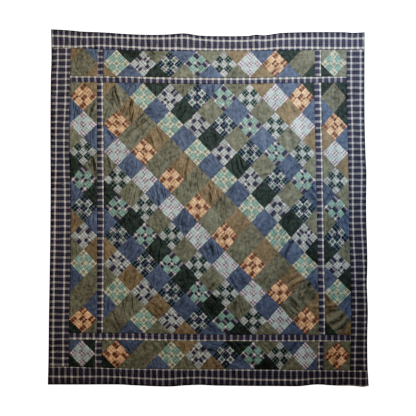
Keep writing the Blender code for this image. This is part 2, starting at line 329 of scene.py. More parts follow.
# Nine-patch blocks in the order of the diagonal rows: corners and centre, then the other four
BLOCKS = [
    ("orange_madras", "peach_check"),
    ("mauve_stripe", "pale_aqua"),
    ("cream_fleck", "green_black_check"),
    ("navy_plaid", "mint"),
    ("navy_green_check", "green_windowpane"),
    ("grey_check", "navy_plaid"),
    ("peach_windowpane", "mint"),
    ("creased_olive", "creased_olive"),
]
WHOLE_BLOCK = 7           # the last kind is one uncut square
SETTING_SQUARES = ["dark_green", "chambray_blue", "tan", "olive", "chambray_blue", "olive"]

# Corner triangles that a maker cut from another cloth: (piece, column line, row line)
ODD_TRIANGLES = {
    ("right_panel", 9, 9): "dark_green",
    ("right_panel", 8, 0): "dark_green",
    ("corner_head_right", 9, 10): "olive",
    ("corner_foot_left", -1, 0): "chambray_blue",
    ("corner_foot_left", -1, -1): "dark_green",
    ("corner_foot_left", 0, -1): "dark_green",
    ("corner_foot_left", 0, 0): "dark_green",
    ("corner_foot_right", 8, 0): "olive",
    ("corner_foot_right", 9, 0): "olive",
    ("corner_foot_right", 8, -1): "olive",
    ("corner_foot_right", 9, -1): "olive",
}

# Yarn colours, linear
YARNS = {
    "dark_green": (0.021, 0.031, 0.026),
    "dark_green_light": (0.032, 0.043, 0.037),
    "blue": (0.070, 0.090, 0.134),
    "blue_light": (0.084, 0.108, 0.156),
    "tan": (0.164, 0.123, 0.073),
    "tan_light": (0.187, 0.139, 0.086),
    "olive": (0.131, 0.131, 0.093),
    "olive_light": (0.149, 0.149, 0.109),
    "moss": (0.126, 0.120, 0.085),
    "moss_light": (0.151, 0.146, 0.106),
    "orange": (0.340, 0.160, 0.083),
    "rust": (0.250, 0.090, 0.055),
    "brown": (0.026, 0.018, 0.020),
    "straw": (0.640, 0.420, 0.270),
    "peach": (0.690, 0.428, 0.252),
    "fawn": (0.340, 0.165, 0.090),
    "mauve": (0.125, 0.090, 0.108),
    "white": (0.590, 0.560, 0.570),
    "aqua": (0.445, 0.525, 0.500),
    "aqua_grey": (0.240, 0.295, 0.285),
    "cream": (0.400, 0.420, 0.398),
    "cream_grey": (0.100, 0.105, 0.100),
    "bottle": (0.130, 0.182, 0.158),
    "black": (0.010, 0.016, 0.017),
    "mint": (0.228, 0.355, 0.293),
    "mint_dark": (0.080, 0.140, 0.115),
    "navy": (0.023, 0.022, 0.035),
    "plum": (0.043, 0.043, 0.079),
    "ash": (0.190, 0.175, 0.210),
    "bone": (0.770, 0.730, 0.610),
    "stone": (0.430, 0.400, 0.355),
    "ink": (0.009, 0.009, 0.028),
    "leaf": (0.085, 0.150, 0.125),
    "blush": (0.530, 0.460, 0.490),
    "fern": (0.060, 0.116, 0.080),
    "sage": (0.140, 0.205, 0.155),
    "apricot": (0.665, 0.535, 0.400),
    "silver": (0.410, 0.436, 0.408),
    "pewter": (0.130, 0.146, 0.138),
    "calico": (0.420, 0.400, 0.340),
}

# Cloths: warp and weft stripes as (width in millimetres, yarn), how much the colour is mottled,
# and the height of its crumples in millimetres. The middle of the first stripe is the middle of
# the repeat.
CLOTHS = {
    "dark_green": ([(3.0, "dark_green"), (1.4, "dark_green_light")],
                   [(3.0, "dark_green"), (1.4, "dark_green_light")], 1.40, 6.0),
    "chambray_blue": ([(2.6, "blue"), (1.4, "blue_light")],
                      [(2.6, "blue_light"), (1.4, "blue")], 0.85, 5.4),
    "tan": ([(2.8, "tan"), (1.6, "tan_light")], [(2.8, "tan_light"), (1.6, "tan")], 0.75, 5.0),
    "olive": ([(2.8, "olive"), (1.6, "olive_light")],
              [(2.8, "olive_light"), (1.6, "olive")], 0.85, 5.4),
    "creased_olive": ([(2.6, "moss"), (1.8, "moss_light")],
                      [(2.6, "moss_light"), (1.8, "moss")], 0.90, 10.0),
    "orange_madras": ([(7.0, "brown"), (4.0, "rust"), (7.0, "brown"), (7.0, "orange"),
                       (5.0, "straw"), (7.0, "orange")],
                      [(7.0, "brown"), (7.0, "rust"), (5.0, "straw"), (5.0, "orange"),
                       (4.0, "brown"), (8.0, "orange"), (9.0, "straw")], 0.40, 1.2),
    "peach_check": ([(13.0, "peach"), (5.0, "fawn")], [(15.0, "peach"), (5.0, "fawn")],
                    0.95, 1.8),
    "mauve_stripe": ([(8.0, "mauve"), (10.0, "white")], [(7.5, "mauve"), (11.5, "white")],
                     0.75, 1.6),
    "pale_aqua": ([(11.0, "aqua"), (6.0, "aqua_grey")], [(12.0, "aqua"), (6.0, "aqua_grey")],
                  0.48, 1.6),
    "cream_fleck": ([(12.0, "cream"), (5.0, "cream_grey")], [(15.0, "cream"), (5.0, "cream_grey")],
                    0.90, 2.6),
    "green_black_check": ([(14.0, "black"), (8.0, "bottle")], [(13.0, "black"), (8.0, "bottle")],
                          0.35, 1.6),
    "navy_plaid": ([(12.0, "bone"), (14.0, "plum"), (8.0, "navy"), (2.0, "ash"),
                    (6.0, "navy"), (22.0, "plum")],
                   [(15.0, "stone"), (12.5, "navy"), (2.5, "plum"), (12.0, "navy")], 0.20, 1.4),
    "mint": ([(11.0, "mint"), (5.0, "mint_dark")], [(12.0, "mint"), (5.0, "mint_dark")],
             0.75, 1.6),
    "navy_green_check": ([(14.0, "ink"), (8.0, "leaf")], [(13.0, "ink"), (8.0, "leaf")],
                         0.35, 1.6),
    "green_windowpane": ([(20.0, "fern"), (8.5, "blush"), (8.0, "ink"), (8.5, "blush")],
                         [(20.0, "fern"), (8.5, "blush"), (8.0, "ink"), (8.5, "blush")],
                         0.70, 1.2),
    "peach_windowpane": ([(18.0, "sage"), (9.0, "apricot"), (7.0, "sage"), (9.0, "apricot")],
                         [(18.0, "sage"), (9.0, "apricot"), (7.0, "sage"), (9.0, "apricot")],
                         0.50, 1.4),
    "grey_check": ([(11.0, "silver"), (6.0, "pewter")], [(12.0, "silver"), (6.0, "pewter")],
                   0.62, 1.8),
    "plain_back": ([(3.0, "calico"), (1.4, "calico")], [(3.0, "calico"), (1.4, "calico")],
                   0.20, 1.2),
}
# Cloths whose yarns don't show alike: how much more of the warp shows, and how far the paler
# yarns, which are thicker, cover the darker ones
UNEVEN = {
    "orange_madras": (0.26, 0.0),
    "mauve_stripe": (0.22, 0.0),
    "navy_green_check": (0.14, 0.0),
    "green_windowpane": (0.0, 0.25),
    "peach_windowpane": (0.0, 0.20),
}
EDGE_SHADE = 2.5          # painted shade on the turned edge, which rolls under away from the light: how dark it is, where a seam's painted shade is 1
EDGE_REACH = 22.0         # and how far in that reaches
FREE_SHIFT = 400.0        # a patch is cut from anywhere within this length of its cloth
FRAMED_CLOTHS = ("green_windowpane", "peach_windowpane")   # cut with the window in the middle
FRAMED_SHIFT = 9.0        # and off it by no more than this
PLAID = "navy_plaid"
THREAD = 0.0007           # one yarn's width, in metres
YARN_HEIGHT = 0.00006
BOUNCE = 0.15             # how much of a yarn's colour comes from the yarns that cross it
MOTTLE_LIGHT = 3.4        # how much light the mottling takes and gives
TONE_LIGHT = 0.09         # the same for a patch's own tone
SEAM_DARK = 0.10          # painted shade: light taken from the colour in a seam
TROUGH_DARK = 0.50        # and in the trough of the deepest drag fold
LEAST_LIGHT = 0.2

# How strongly the slack of each cloth gathers in drag lines, in millimetres of height
DRAG_HEIGHT = {
    "dark_green": 1.9,
    "chambray_blue": 1.9,
    "tan": 1.9,
    "olive": 2.0,
    "creased_olive": 2.0,
}
MOST_DRAG = 3.2
FOLD_EDGE = 0.02          # how far below the middle of the folds' wave a trough begins
FOLD_RUN = 0.18           # and how much further down it is at its deepest
FOLD_SOFT = 0.046         # height in metres of the whole wave
FOLD_DEEP = 0.0052        # and of the troughs
PIECED_DRAG = 0.8

# Strips that are paler or darker than the rest of the plaid
STRIP_TONE = {
    "border_right": -1.9,
    "border_foot": -1.2,
    "sash_right": 0.7,
    "sash_foot": 1.8,
}
STRIP_DRAG = 0.35
DRAG_DIRECTION = 92.0     # degrees from +X, the way most drag lines run
DRAG_SPREAD = 34.0


# Seams

def smooth_line(stations):
    """A seam's place along its stations, as a smooth curve that keeps its end value past both ends."""
    at, level = np.array(sorted(stations), dtype=float).T
    last = len(at) - 1
    before = np.maximum(np.arange(last + 1) - 1, 0)
    after = np.minimum(np.arange(last + 1) + 1, last)
    slopes = (level[after] - level[before]) / (at[after] - at[before])

    def place(along):
        along = np.clip(along, at[0], at[-1])
        i = np.clip(np.searchsorted(at, along, side="right") - 1, 0, last - 1)
        span = at[i + 1] - at[i]
        t = (along - at[i]) / span
        rise = (2 * t**3 - 3 * t**2 + 1) * level[i] + (3 * t**2 - 2 * t**3) * level[i + 1]
        lean = (t**3 - 2 * t**2 + t) * slopes[i] + (t**3 - t**2) * slopes[i + 1]
        return rise + lean * span

    return place


UP = {name: smooth_line(stations) for name, stations in UP_SEAMS.items()}
CROSS = {name: smooth_line(stations) for name, stations in CROSS_SEAMS.items()}
COLUMN_LINES = [smooth_line(list(zip(FIELD_Y, row))) for row in FIELD_COLUMNS]
ROW_LINES = [smooth_line(list(zip(FIELD_X, row))) for row in FIELD_ROWS]


def between(low, high, share):
    return low + (high - low) * share


def pick(lines, along, position):
    """The place of a line between two of lines, for each point at its own position."""
    levels = np.array([line(along) for line in lines])
    i = np.clip(position.astype(int), 0, len(lines) - 2)
    each = np.arange(len(position))
    return between(levels[i, each], levels[i + 1, each], position - i)


def spot(up, across, a, b):
    """Where line a of up crosses line b of across, for arrays of a and b."""
    y = np.full(len(a), float(np.mean([line(0.0) for line in across])))
    for _ in range(6):
        x = pick(up, y, a)
        y = pick(across, x, b)
    return x, y


def inset(lines):
    """The same lines, with the first and last drawn in by half the gap between pieces."""
    half = PIECE_GAP / 2
    first, last = lines[0], lines[-1]
    return [lambda at: first(at) + half] + list(lines[1:-1]) + [lambda at: last(at) - half]


# Relief

def dome(share):
    return np.sqrt(np.clip(1.0 - share * share, 0.0, 1.0))


def hills(x, y, length, depth):
    """Smooth random heights between about -1 and 1, with hills about length apart."""
    points = zip((x / length).tolist(), (y / length).tolist())
    return np.array([noise.noise((px, py, depth)) for px, py in points])


def unevenness(x, y):
    """Height that the batting's slow swell and the main creases add."""
    height = SWELL * np.sin(math.tau * x / SWELL_LENGTH_X) * np.cos(math.tau * y / SWELL_LENGTH_Y)
    for crease in CREASES:
        height += CREASE_RISE * crease[-1] * crease_share(x, y, crease)
    return height


def crease_share(x, y, crease):
    """How much of one crease's height each point has."""
    middle_x, middle_y, length, angle, width, _ = crease
    turn = math.radians(angle)
    along = (x - middle_x) * math.cos(turn) + (y - middle_y) * math.sin(turn)
    aside = (y - middle_y) * math.cos(turn) - (x - middle_x) * math.sin(turn)
    bend = 0.10 * along * np.sin(along / length * 2.0 + middle_x)
    fade = np.cos(np.clip(along / length / CREASE_STRETCH, -0.5, 0.5) * math.pi)
    return fade**0.7 * np.exp(-(((aside + bend) / width * 2.4) ** 2))


def follow_creases(turn, drag, x, y):
    """Direction and height of the drag lines of squares with their middles at x, y: they run
    along the nearest crease, and squares without one lie calmer."""
    most = np.zeros(turn.shape)
    for middle_x, middle_y, _, angle, _, height in CREASES:
        distance = np.hypot(x - middle_x, y - middle_y).reshape(turn.shape)
        force = np.clip(1.0 - distance / CREASE_REACH, 0.0, 1.0) * abs(height)
        turn = np.where(force > most, angle, turn)
        most = np.maximum(most, force)
    return turn, drag * between(CALM_SQUARE, SLACK_SQUARE, np.clip(most, 0.0, 1.0))


def crease_painted_light(x, y):
    """Painted highlight on the ridges of the main creases, for their sheen, and painted shade in their
    hollows, as a change to the colour's level.
    """
    height = np.zeros(len(x))
    for crease in CREASES:
        height += crease[-1] * NARROW_CREASE / crease[-2] * crease_share(x, y, crease)
    level = np.clip(height / FULL_CREASE, -1.0, 1.0)
    return np.where(level < 0.0, level * CREASE_SHADE, level * CREASE_SHEEN)


def pulled(x, y, drift, direction):
    """Place along and aside of the drag lines, which run in direction and drift to the side."""
    turn = np.radians(direction)
    along = x * np.cos(turn) + y * np.sin(turn)
    aside = y * np.cos(turn) - x * np.sin(turn)
    return along, aside + drift


def drag_lines(along, aside, depth):
    """Ridges between 0 and 1, as slack cloth gathers along its drag lines."""
    points = zip((along / 150.0).tolist(), (aside / 30.0).tolist(), depth.tolist())
    wide = np.array([noise.noise(point) for point in points])
    ridge = np.clip(1.0 - np.abs(wide) / 0.30, 0.0, 1.0) ** 1.5
    return ridge


def puckers(x, y, seam_distance):
    """Short ripples where the stitches of a seam draw the cloth in."""
    return 0.55 * hills(x, y, 11.0, 5.0) * np.exp(-seam_distance / 9.0)


# Meshes

def make_piece(name, points, faces, cloths, cloth_of_face, maps, tone_of_face, shade_nearness, slack):
    """One closed piece of cloth on the ground, from its top face. maps has its weave's place and
    its drag lines' place, each as a function of a face's corner points."""
    mesh = bpy.data.meshes.new(name)
    points[:, 2] = np.maximum(points[:, 2], LEAST_HEIGHT)
    mesh.from_pydata((points * MM).tolist(), [], faces)
    used = sorted(set(cloth_of_face.tolist()))
    for number in used:
        mesh.materials.append(bpy.data.materials[cloths[number]])
    mesh.materials.append(bpy.data.materials["plain_back"])
    slots = np.searchsorted(used, cloth_of_face)
    mesh.polygons.foreach_set("material_index", slots.astype(np.int32))
    mesh.polygons.foreach_set("use_smooth", np.ones(len(faces), dtype=bool))

    sizes = np.empty(len(faces), dtype=np.int32)
    mesh.polygons.foreach_get("loop_total", sizes)
    corner_point = np.empty(len(mesh.loops), dtype=np.int32)
    mesh.loops.foreach_get("vertex_index", corner_point)
    corner_face = np.repeat(np.arange(len(faces)), sizes)
    for label, place in maps.items():
        layer = mesh.uv_layers.new(name=label)
        uv = place(corner_point, corner_face) * MM
        layer.uv.foreach_set("vector", uv.astype(np.float32).ravel())
    tone = mesh.attributes.new("tone", "FLOAT", "FACE")
    tone.data.foreach_set("value", tone_of_face.astype(np.float32))
    # painted highlight on the creases' ridges and painted shade in their hollows, kept as the point
    # attribute crease
    crease_light = crease_painted_light(points[:, 0], points[:, 1])
    # the seam attribute carries the painted shade along seams and on the turned edge
    for label, values in (("seam", shade_nearness), ("slack", slack), ("crease", crease_light)):
        layer = mesh.attributes.new(label, "FLOAT", "POINT")
        layer.data.foreach_set("value", values.astype(np.float32))

    close_below(mesh, len(used))
    piece = bpy.data.objects.new(name, mesh)
    bpy.context.scene.collection.objects.link(piece)
    return piece


def close_below(mesh, back_slot):
    """Drops a wall from the rim to the ground and closes the flat underside."""
    bm = bmesh.new()
    bm.from_mesh(mesh)
    top = set(bm.faces)
    rim = [edge for edge in bm.edges if edge.is_boundary]
    made = bmesh.ops.extrude_edge_only(bm, edges=rim)["geom"]
    for v in made:
        if isinstance(v, bmesh.types.BMVert):
            v.co.z = 0.0
    lowest = [edge for edge in bm.edges if edge.is_boundary]
    under = bmesh.ops.edgeloop_fill(bm, edges=lowest)["faces"]
    for face in under:
        face.material_index = back_slot
    for face in bm.faces:
        if face not in top:
            face.smooth = False
    bmesh.ops.recalc_face_normals(bm, faces=bm.faces)
    bm.to_mesh(mesh)
    bm.free()


def cut_size(up, across):
    """Width and length in metres of a piece between its outer seams."""
    ys = np.linspace(across[0](0.0), across[-1](0.0), 9)
    xs = np.linspace(up[0](0.0), up[-1](0.0), 9)
    width = np.mean(up[-1](ys) - up[0](ys))
    length = np.mean(across[-1](xs) - across[0](xs))
    return float(width) * MM, float(length) * MM


def fit(piece, node, up, across):
    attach(piece, "root")
    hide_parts(node)
    cut_size(up, across)


# Patchwork

def lattice(columns, rows):
    """Points and faces on the squares' own diagonal lines, cut off along the panel's edges.
    k and l count mesh steps along the two diagonals from the middle of the first block."""
    side = STEPS * (columns + rows)
    k, l = np.meshgrid(np.arange(side + 1) - STEPS, np.arange(side + 1) - STEPS * rows,
                       indexing="ij")
    rising, falling = k + l, k - l
    inside = (rising >= -STEPS) & (rising <= STEPS * (2 * columns - 1))
    inside &= (falling >= -STEPS) & (falling <= STEPS * (2 * rows - 1))
    number = (np.cumsum(inside) - 1).reshape(inside.shape)
    corners = [(slice(None, -1), slice(None, -1)), (slice(None, -1), slice(1, None)),
               (slice(1, None), slice(1, None)), (slice(1, None), slice(None, -1))]
    kept = np.stack([inside[c] for c in corners], axis=-1)
    numbers = np.stack([number[c] for c in corners], axis=-1)
    whole = kept.sum(axis=-1) >= 3
    faces = [n[ok].tolist() for n, ok in zip(numbers[whole], kept[whole])]
    face_k = k[:-1, :-1][whole] + 0.5
    face_l = l[:-1, :-1][whole] + 0.5
    return k[inside], l[inside], faces, face_k, face_l


def block_kind(column, row):
    """Which of BLOCKS lies at a column from the left and a row from the foot."""
    down = FIELD_BLOCKS[1] - 1 - row
    return (down - column - 1) % len(BLOCKS)


def setting_cloth(piece, column_line, row_line):
    if (piece, column_line, row_line) in ODD_TRIANGLES:
        return ODD_TRIANGLES[piece, column_line, row_line]
    step = FIELD_BLOCKS[1] - column_line - row_line
    return SETTING_SQUARES[(step + 2) % len(SETTING_SQUARES)]


def square_cloths(piece, s, t, first):
    """The two cloths of the square at s, t, and whether it is cut into small patches."""
    column, row = first
    if (s + t) % 2 == 0:
        kind = block_kind(column + (s + t) // 2, row + (s - t) // 2)
        return BLOCKS[kind][0], BLOCKS[kind][1], kind != WHOLE_BLOCK
    cloth = setting_cloth(piece, column + (s + t + 1) // 2, row + (s - t + 1) // 2)
    return cloth, cloth, False


def square_table(name, first, low_s, low_t, count, cloths):
    """For each square of a panel its two cloths, whether it is cut up, and its drag lines' height."""
    outer = np.zeros((count, count), dtype=int)
    inner = np.zeros((count, count), dtype=int)
    pieced = np.zeros((count, count), dtype=bool)
    drag = np.zeros((count, count))
    for i in range(count):
        for j in range(count):
            one, other, cut = square_cloths(name, low_s + i, low_t + j, first)
            outer[i, j] = cloths.index(one)
            inner[i, j] = cloths.index(other)
            pieced[i, j] = cut
            drag[i, j] = PIECED_DRAG if cut else DRAG_HEIGHT[one]
    return outer, inner, pieced, drag


def seam_share(off, cut):
    """Share of the way from the middle of a small patch, or else of the whole square, to its seam."""
    patch_half = 0.5 / PATCHES
    in_patch = np.abs((off + patch_half) % (2 * patch_half) - patch_half) / patch_half
    return np.where(cut, in_patch, off * 2.0)


def patchwork(name, number, up, across, first):
    """A panel of blocks on point, whose lowest left block is block first of the quilt's count."""
    columns, rows = len(up) - 1, len(across) - 1
    k, l, faces, face_k, face_l = lattice(columns, rows)
    a = (k + l) / (2 * STEPS) + 0.5
    b = (k - l) / (2 * STEPS) + 0.5
    x, y = spot(inset(up), inset(across), a, b)

    low_s, low_t = -2, -rows - 1
    count = columns + rows + 4
    cloths = sorted(CLOTHS)
    outer, inner, pieced, drag = square_table(name, first, low_s, low_t, count, cloths)
    draw = np.random.default_rng(number)
    turn = DRAG_DIRECTION + DRAG_SPREAD * draw.uniform(-1.0, 1.0, (count, count))
    drag *= draw.uniform(0.6, 1.1, (count, count))
    at_s, at_t = np.meshgrid(low_s + np.arange(count), low_t + np.arange(count), indexing="ij")
    middle = spot(up, across, (at_s + at_t).ravel() / 2 + 0.5, (at_s - at_t).ravel() / 2 + 0.5)
    turn, drag = follow_creases(turn, drag, *middle)
    crosswise = draw.random((count, count)) < 0.5
    shift = draw.uniform(0.0, FREE_SHIFT, (count, count, PATCHES, PATCHES, 2))
    tone = draw.uniform(-1.0, 1.0, (count, count, PATCHES, PATCHES))

    # Points
    s, t = k / STEPS, l / STEPS
    near_s = np.floor(s + 0.5).astype(int)
    near_t = np.floor(t + 0.5).astype(int)
    square = (near_s - low_s, near_t - low_t)
    off_s, off_t = np.abs(s - near_s), np.abs(t - near_t)
    cut = pieced[square]
    share_s, share_t = seam_share(off_s, cut), seam_share(off_t, cut)
    half_width = np.where(cut, 0.5 / PATCHES, 0.5) * SQUARE_SIDE
    seam_distance = (1.0 - np.maximum(share_s, share_t)) * half_width
    cell = SQUARE_SIDE * math.sqrt(2.0)
    rim_distance = np.minimum(np.minimum(a, columns - a), np.minimum(b, rows - b)) * cell
    crown = np.where(cut, PATCH_CROWN, SQUARE_CROWN) - SEAM_HEIGHT
    puff = dome(share_s) * dome(share_t)
    puff = puff * dome(1.0 - np.minimum(rim_distance / RIM_REACH, 1.0))
    seam_distance = np.minimum(seam_distance, rim_distance)
    across_field = np.clip((x + SLACK_EDGE) / (2 * SLACK_EDGE), 0.0, 1.0)
    slack = between(SLACK_AT_LEFT, SLACK_AT_RIGHT, across_field)
    fade = between(0.25, 1.0, np.clip(seam_distance / DRAG_FADE, 0.0, 1.0))
    fade = fade * np.clip(rim_distance / DRAG_RIM_FADE, 0.0, 1.0)
    drift = DRIFT * hills(x, y, DRIFT_LENGTH, 3.0)
    along, aside = pulled(x, y, drift, turn[square])
    ridges = drag_lines(along, aside, near_s * 7.3 + near_t * 3.1 + number * 11.7)
    height = drag[square] * slack * fade
    z = SEAM_HEIGHT + crown * puff + unevenness(x, y)
    z = z + height * (ridges - 0.4) + puckers(x, y, seam_distance)
    # how near to a seam each point is, which sets the painted shade along the seams
    shade_nearness = np.clip(1.0 - seam_distance / 6.0, 0.0, 1.0)

    # Faces
    face_s = np.floor(face_k / STEPS + 0.5).astype(int)
    face_t = np.floor(face_l / STEPS + 0.5).astype(int)
    patch_s = np.floor((face_k / STEPS - face_s + 0.5) * PATCHES).astype(int)
    patch_t = np.floor((face_l / STEPS - face_t + 0.5) * PATCHES).astype(int)
    home = (face_s - low_s, face_t - low_t)
    cut = pieced[home]
    patch_s = np.where(cut, patch_s, 0)
    patch_t = np.where(cut, patch_t, 0)
    first_kind = (patch_s + patch_t) % 2 == 0
    cloth_of_face = np.where(first_kind, outer[home], inner[home])
    shift_of_face = shift[home[0], home[1], patch_s, patch_t]
    framed = np.isin(cloth_of_face, [cloths.index(cloth) for cloth in FRAMED_CLOTHS])
    small_shift = (shift_of_face / FREE_SHIFT * 2.0 - 1.0) * FRAMED_SHIFT
    shift_of_face = np.where(framed[:, None], small_shift, shift_of_face)
    middle_s = np.where(cut, (patch_s + 0.5) / PATCHES - 0.5, 0.0) + face_s
    middle_t = np.where(cut, (patch_t + 0.5) / PATCHES - 0.5, 0.0) + face_t
    tone_of_face = tone[home[0], home[1], patch_s, patch_t]
    sway_s = SWAY * hills(x, y, SWAY_LENGTH, 11.0)
    sway_t = SWAY * hills(x, y, SWAY_LENGTH, 17.0)

    def grain(point, face):
        u = (s[point] - middle_s[face]) * SQUARE_SIDE + sway_s[point] + shift_of_face[face, 0]
        v = (t[point] - middle_t[face]) * SQUARE_SIDE + sway_t[point] + shift_of_face[face, 1]
        turned = crosswise[home][face]
        return np.stack([np.where(turned, v, u), np.where(turned, u, v)], axis=1)

    def pull(point, face):
        along, aside = pulled(x[point], y[point], drift[point], turn[home][face])
        return np.stack([along, aside + 300.0 * (face_s + 2 * face_t)[face]], axis=1)

    points = np.stack([x, y, z], axis=1)
    piece = make_piece(name + "_patchwork", points, faces, cloths, cloth_of_face,
                       {"grain": grain, "pull": pull}, tone_of_face, shade_nearness, height / MOST_DRAG)
    fit(piece, name, up, across)
    return piece


# Strips

def strip_grid(up, across, shares_a, shares_b):
    """Points and faces of a strip between its seams. The shares lie between 0 and 1."""
    a, b = np.meshgrid(shares_a, shares_b, indexing="ij")
    x, y = spot(inset(up), inset(across), a.ravel(), b.ravel())
    number = np.arange(a.size).reshape(a.shape)
    corners = [number[:-1, :-1], number[1:, :-1], number[1:, 1:], number[:-1, 1:]]
    faces = np.stack([c.ravel() for c in corners], axis=1).tolist()
    return x, y, a.ravel(), b.ravel(), faces


def even_shares(length, step):
    return np.linspace(0.0, 1.0, max(2, round(length / step)) + 1)


def plaid_piece(name, number, points, faces, up, across, over, along, shade_nearness):
    """A strip cut from the plaid: over and along are each point's place in the plaid's repeat."""
    x, y = points[:, 0], points[:, 1]
    over = over + 1.6 * hills(x, y, 60.0, number * 5.3)
    along = along + 2.6 * hills(x, y, 42.0, number * 5.3 + 2.0)
    slack = STRIP_DRAG + (1.0 - STRIP_DRAG) * 0.6 * np.minimum(shade_nearness, 1.0)

    def grain(point, face):
        return np.stack([over[point], along[point]], axis=1)

    def pull(point, face):
        return np.stack([over[point], along[point] * 0.8 + over[point] * 0.3], axis=1)

    only_cloth = np.zeros(len(faces), dtype=int)
    tone = np.full(len(faces), STRIP_TONE.get(name, 0.0))
    piece = make_piece(name + "_plaid", points, faces, [PLAID], only_cloth,
                       {"grain": grain, "pull": pull}, tone, shade_nearness, slack)
    fit(piece, name, up, across)
    return piece


def repeat_along(name, along):
    """Turns a place along a strip into the plaid's own length, so that its cross lines fit."""
    stations = sorted(CROSS_LINES[name])
    at, line = np.array(stations, dtype=float).T
    first_gap = (line[1] - line[0]) / (at[1] - at[0])
    last_gap = (line[-1] - line[-2]) / (at[-1] - at[-2])
    lines = np.interp(along, at, line)
    lines = np.where(along < at[0], line[0] + (along - at[0]) * first_gap, lines)
    lines = np.where(along > at[-1], line[-1] + (along - at[-1]) * last_gap, lines)
    return lines * CROSS_PITCH


def sash(name, number, up, across, lengthwise):
    """A sash runs up where lengthwise is true, and across where it is false."""
    width, length = (size / MM for size in cut_size(up, across))
    narrow = even_shares(min(width, length), STRIP_STEP * 0.8)
    far = even_shares(max(width, length), STRIP_STEP)
    shares = (narrow, far) if lengthwise else (far, narrow)
    x, y, a, b, faces = strip_grid(up, across, *shares)
    share = a if lengthwise else b
    along = y if lengthwise else x
    strip_width = min(width, length)
    edge = np.minimum(share, 1.0 - share) * strip_width
    end = np.minimum(b, 1.0 - b) * length if lengthwise else np.minimum(a, 1.0 - a) * width
    seam_distance = np.minimum(edge, end)
    puff = dome(1.0 - np.clip(edge * 2.0 / strip_width, 0.0, 1.0))
    puff = puff * dome(1.0 - np.minimum(end / 14.0, 1.0))
    z = SEAM_HEIGHT + (STRIP_CROWN - SEAM_HEIGHT) * puff + unevenness(x, y)
    z = z + 0.5 * hills(x, y, 26.0, 2.0) * puff + puckers(x, y, seam_distance)
    line = smooth_line(SASH_LONG_LINE[name])
    over = (share - 0.5) * strip_width - line(along)
    points = np.stack([x, y, z], axis=1)
    # how near to a seam each point is, which sets the painted shade along the seams and the slack
    shade_nearness = np.clip(1.0 - seam_distance / 5.0, 0.0, 1.0)
    return plaid_piece(name, number, points, faces, up, across, over,
                       repeat_along(name, along), shade_nearness)


def border(name, number, up, across, lengthwise, outer_last):
    """A border strip, whose turned edge is its last line where outer_last is true."""
    width, length = (size / MM for size in cut_size(up, across))
    strip_width, strip_length = min(width, length), max(width, length)
    edge_rows = np.array(BORDER_EDGE_ROWS) / strip_width
    rest = np.linspace(edge_rows[-1], 1.0, round((1.0 - edge_rows[-1]) * strip_width / STRIP_STEP))
    narrow = np.concatenate([edge_rows[:-1], rest])
    if outer_last:
        narrow = 1.0 - narrow[::-1]
    far = even_shares(strip_length, STRIP_STEP)
    shares = (narrow, far) if lengthwise else (far, narrow)
    x, y, a, b, faces = strip_grid(up, across, *shares)
    share = a if lengthwise else b
    along = y if lengthwise else x
    if outer_last:
        share = 1.0 - share
    outside, inside = share * strip_width, (1.0 - share) * strip_width
    ends = np.minimum(b, 1.0 - b) * length if lengthwise else np.minimum(a, 1.0 - a) * width
    roll = dome(1.0 - np.minimum(outside / 30.0, 1.0))
    sink = dome(1.0 - np.minimum(inside / 30.0, 1.0))
    z = BORDER_CROWN - (BORDER_CROWN - BORDER_LIP) * (1.0 - roll)
    z = z - (BORDER_CROWN - SEAM_HEIGHT) * (1.0 - sink)
    if lengthwise:
        end_dip = 1.0 - dome(1.0 - np.minimum(ends / 24.0, 1.0))
        z = z - (BORDER_CROWN - SEAM_HEIGHT) * end_dip * roll * sink
    else:
        end_roll = 1.0 - dome(1.0 - np.minimum(ends / 30.0, 1.0))
        z = z - (z - BORDER_LIP) * end_roll
    seam_distance = inside
    if lengthwise:
        seam_distance = np.minimum(inside, ends)
    calm = np.clip(np.minimum(outside, ends) / 25.0, 0.0, 1.0)
    z = z + calm * (unevenness(x, y) + 0.9 * hills(x, y, 55.0, 8.0) + 0.4 * hills(x, y, 18.0, 9.0))
    z = z + calm * puckers(x, y, seam_distance)
    first, second = (smooth_line(stations) for stations in BORDER_LONG_LINES[name])
    over = (inside - first(along)) / (second(along) - first(along)) * LONG_PITCH
    outwards = 1.0 if outer_last else -1.0
    points = np.stack([x, y, z], axis=1)
    # how near to the inner seam or a strip end each point is, which sets the painted shade along it
    shade_nearness = np.clip(1.0 - seam_distance / 5.0, 0.0, 1.0)
    rim = outside if lengthwise else np.minimum(outside, ends)
    # painted shade on the turned edge, which rolls under away from the light, added to the seams'
    # painted shade
    shade_nearness = np.maximum(shade_nearness, EDGE_SHADE * np.clip(1.0 - rim / EDGE_REACH, 0.0, 1.0))
    return plaid_piece(name, number, points, faces, up, across, over * outwards,
                       repeat_along(name, along), shade_nearness)


# Materials

def add(tree, kind, inputs=None, **settings):
    """A shader node with its settings, and its inputs set to values or joined to other sockets."""
    made = tree.nodes.new(kind)
    for key, value in settings.items():
        setattr(made, key, value)
    for key, value in (inputs or {}).items():
        if isinstance(value, bpy.types.NodeSocket):
            tree.links.new(value, made.inputs[key])
        else:
            made.inputs[key].default_value = value
    return made


def sum_up(tree, operation, one, two=0.0, three=0.0):
    values = {0: one, 1: two}
    if operation in ("MULTIPLY_ADD", "WRAP"):
        values[2] = three
    return add(tree, "ShaderNodeMath", values, operation=operation).outputs[0]


def blend_colours(tree, share, one, two, mode="MIX"):
    made = add(tree, "ShaderNodeMix", {0: share, 6: one, 7: two}, data_type="RGBA", blend_type=mode)
    return made.outputs[2]


def new_group(name, inputs, outputs):
    tree = bpy.data.node_groups.new(name, "ShaderNodeTree")
    for label, kind, value in inputs:
        socket = tree.interface.new_socket(label, in_out="INPUT", socket_type=kind)
        socket.default_value = value
    for label, kind in outputs:
        tree.interface.new_socket(label, in_out="OUTPUT", socket_type=kind)
    return tree, tree.nodes.new("NodeGroupInput").outputs, tree.nodes.new("NodeGroupOutput").inputs


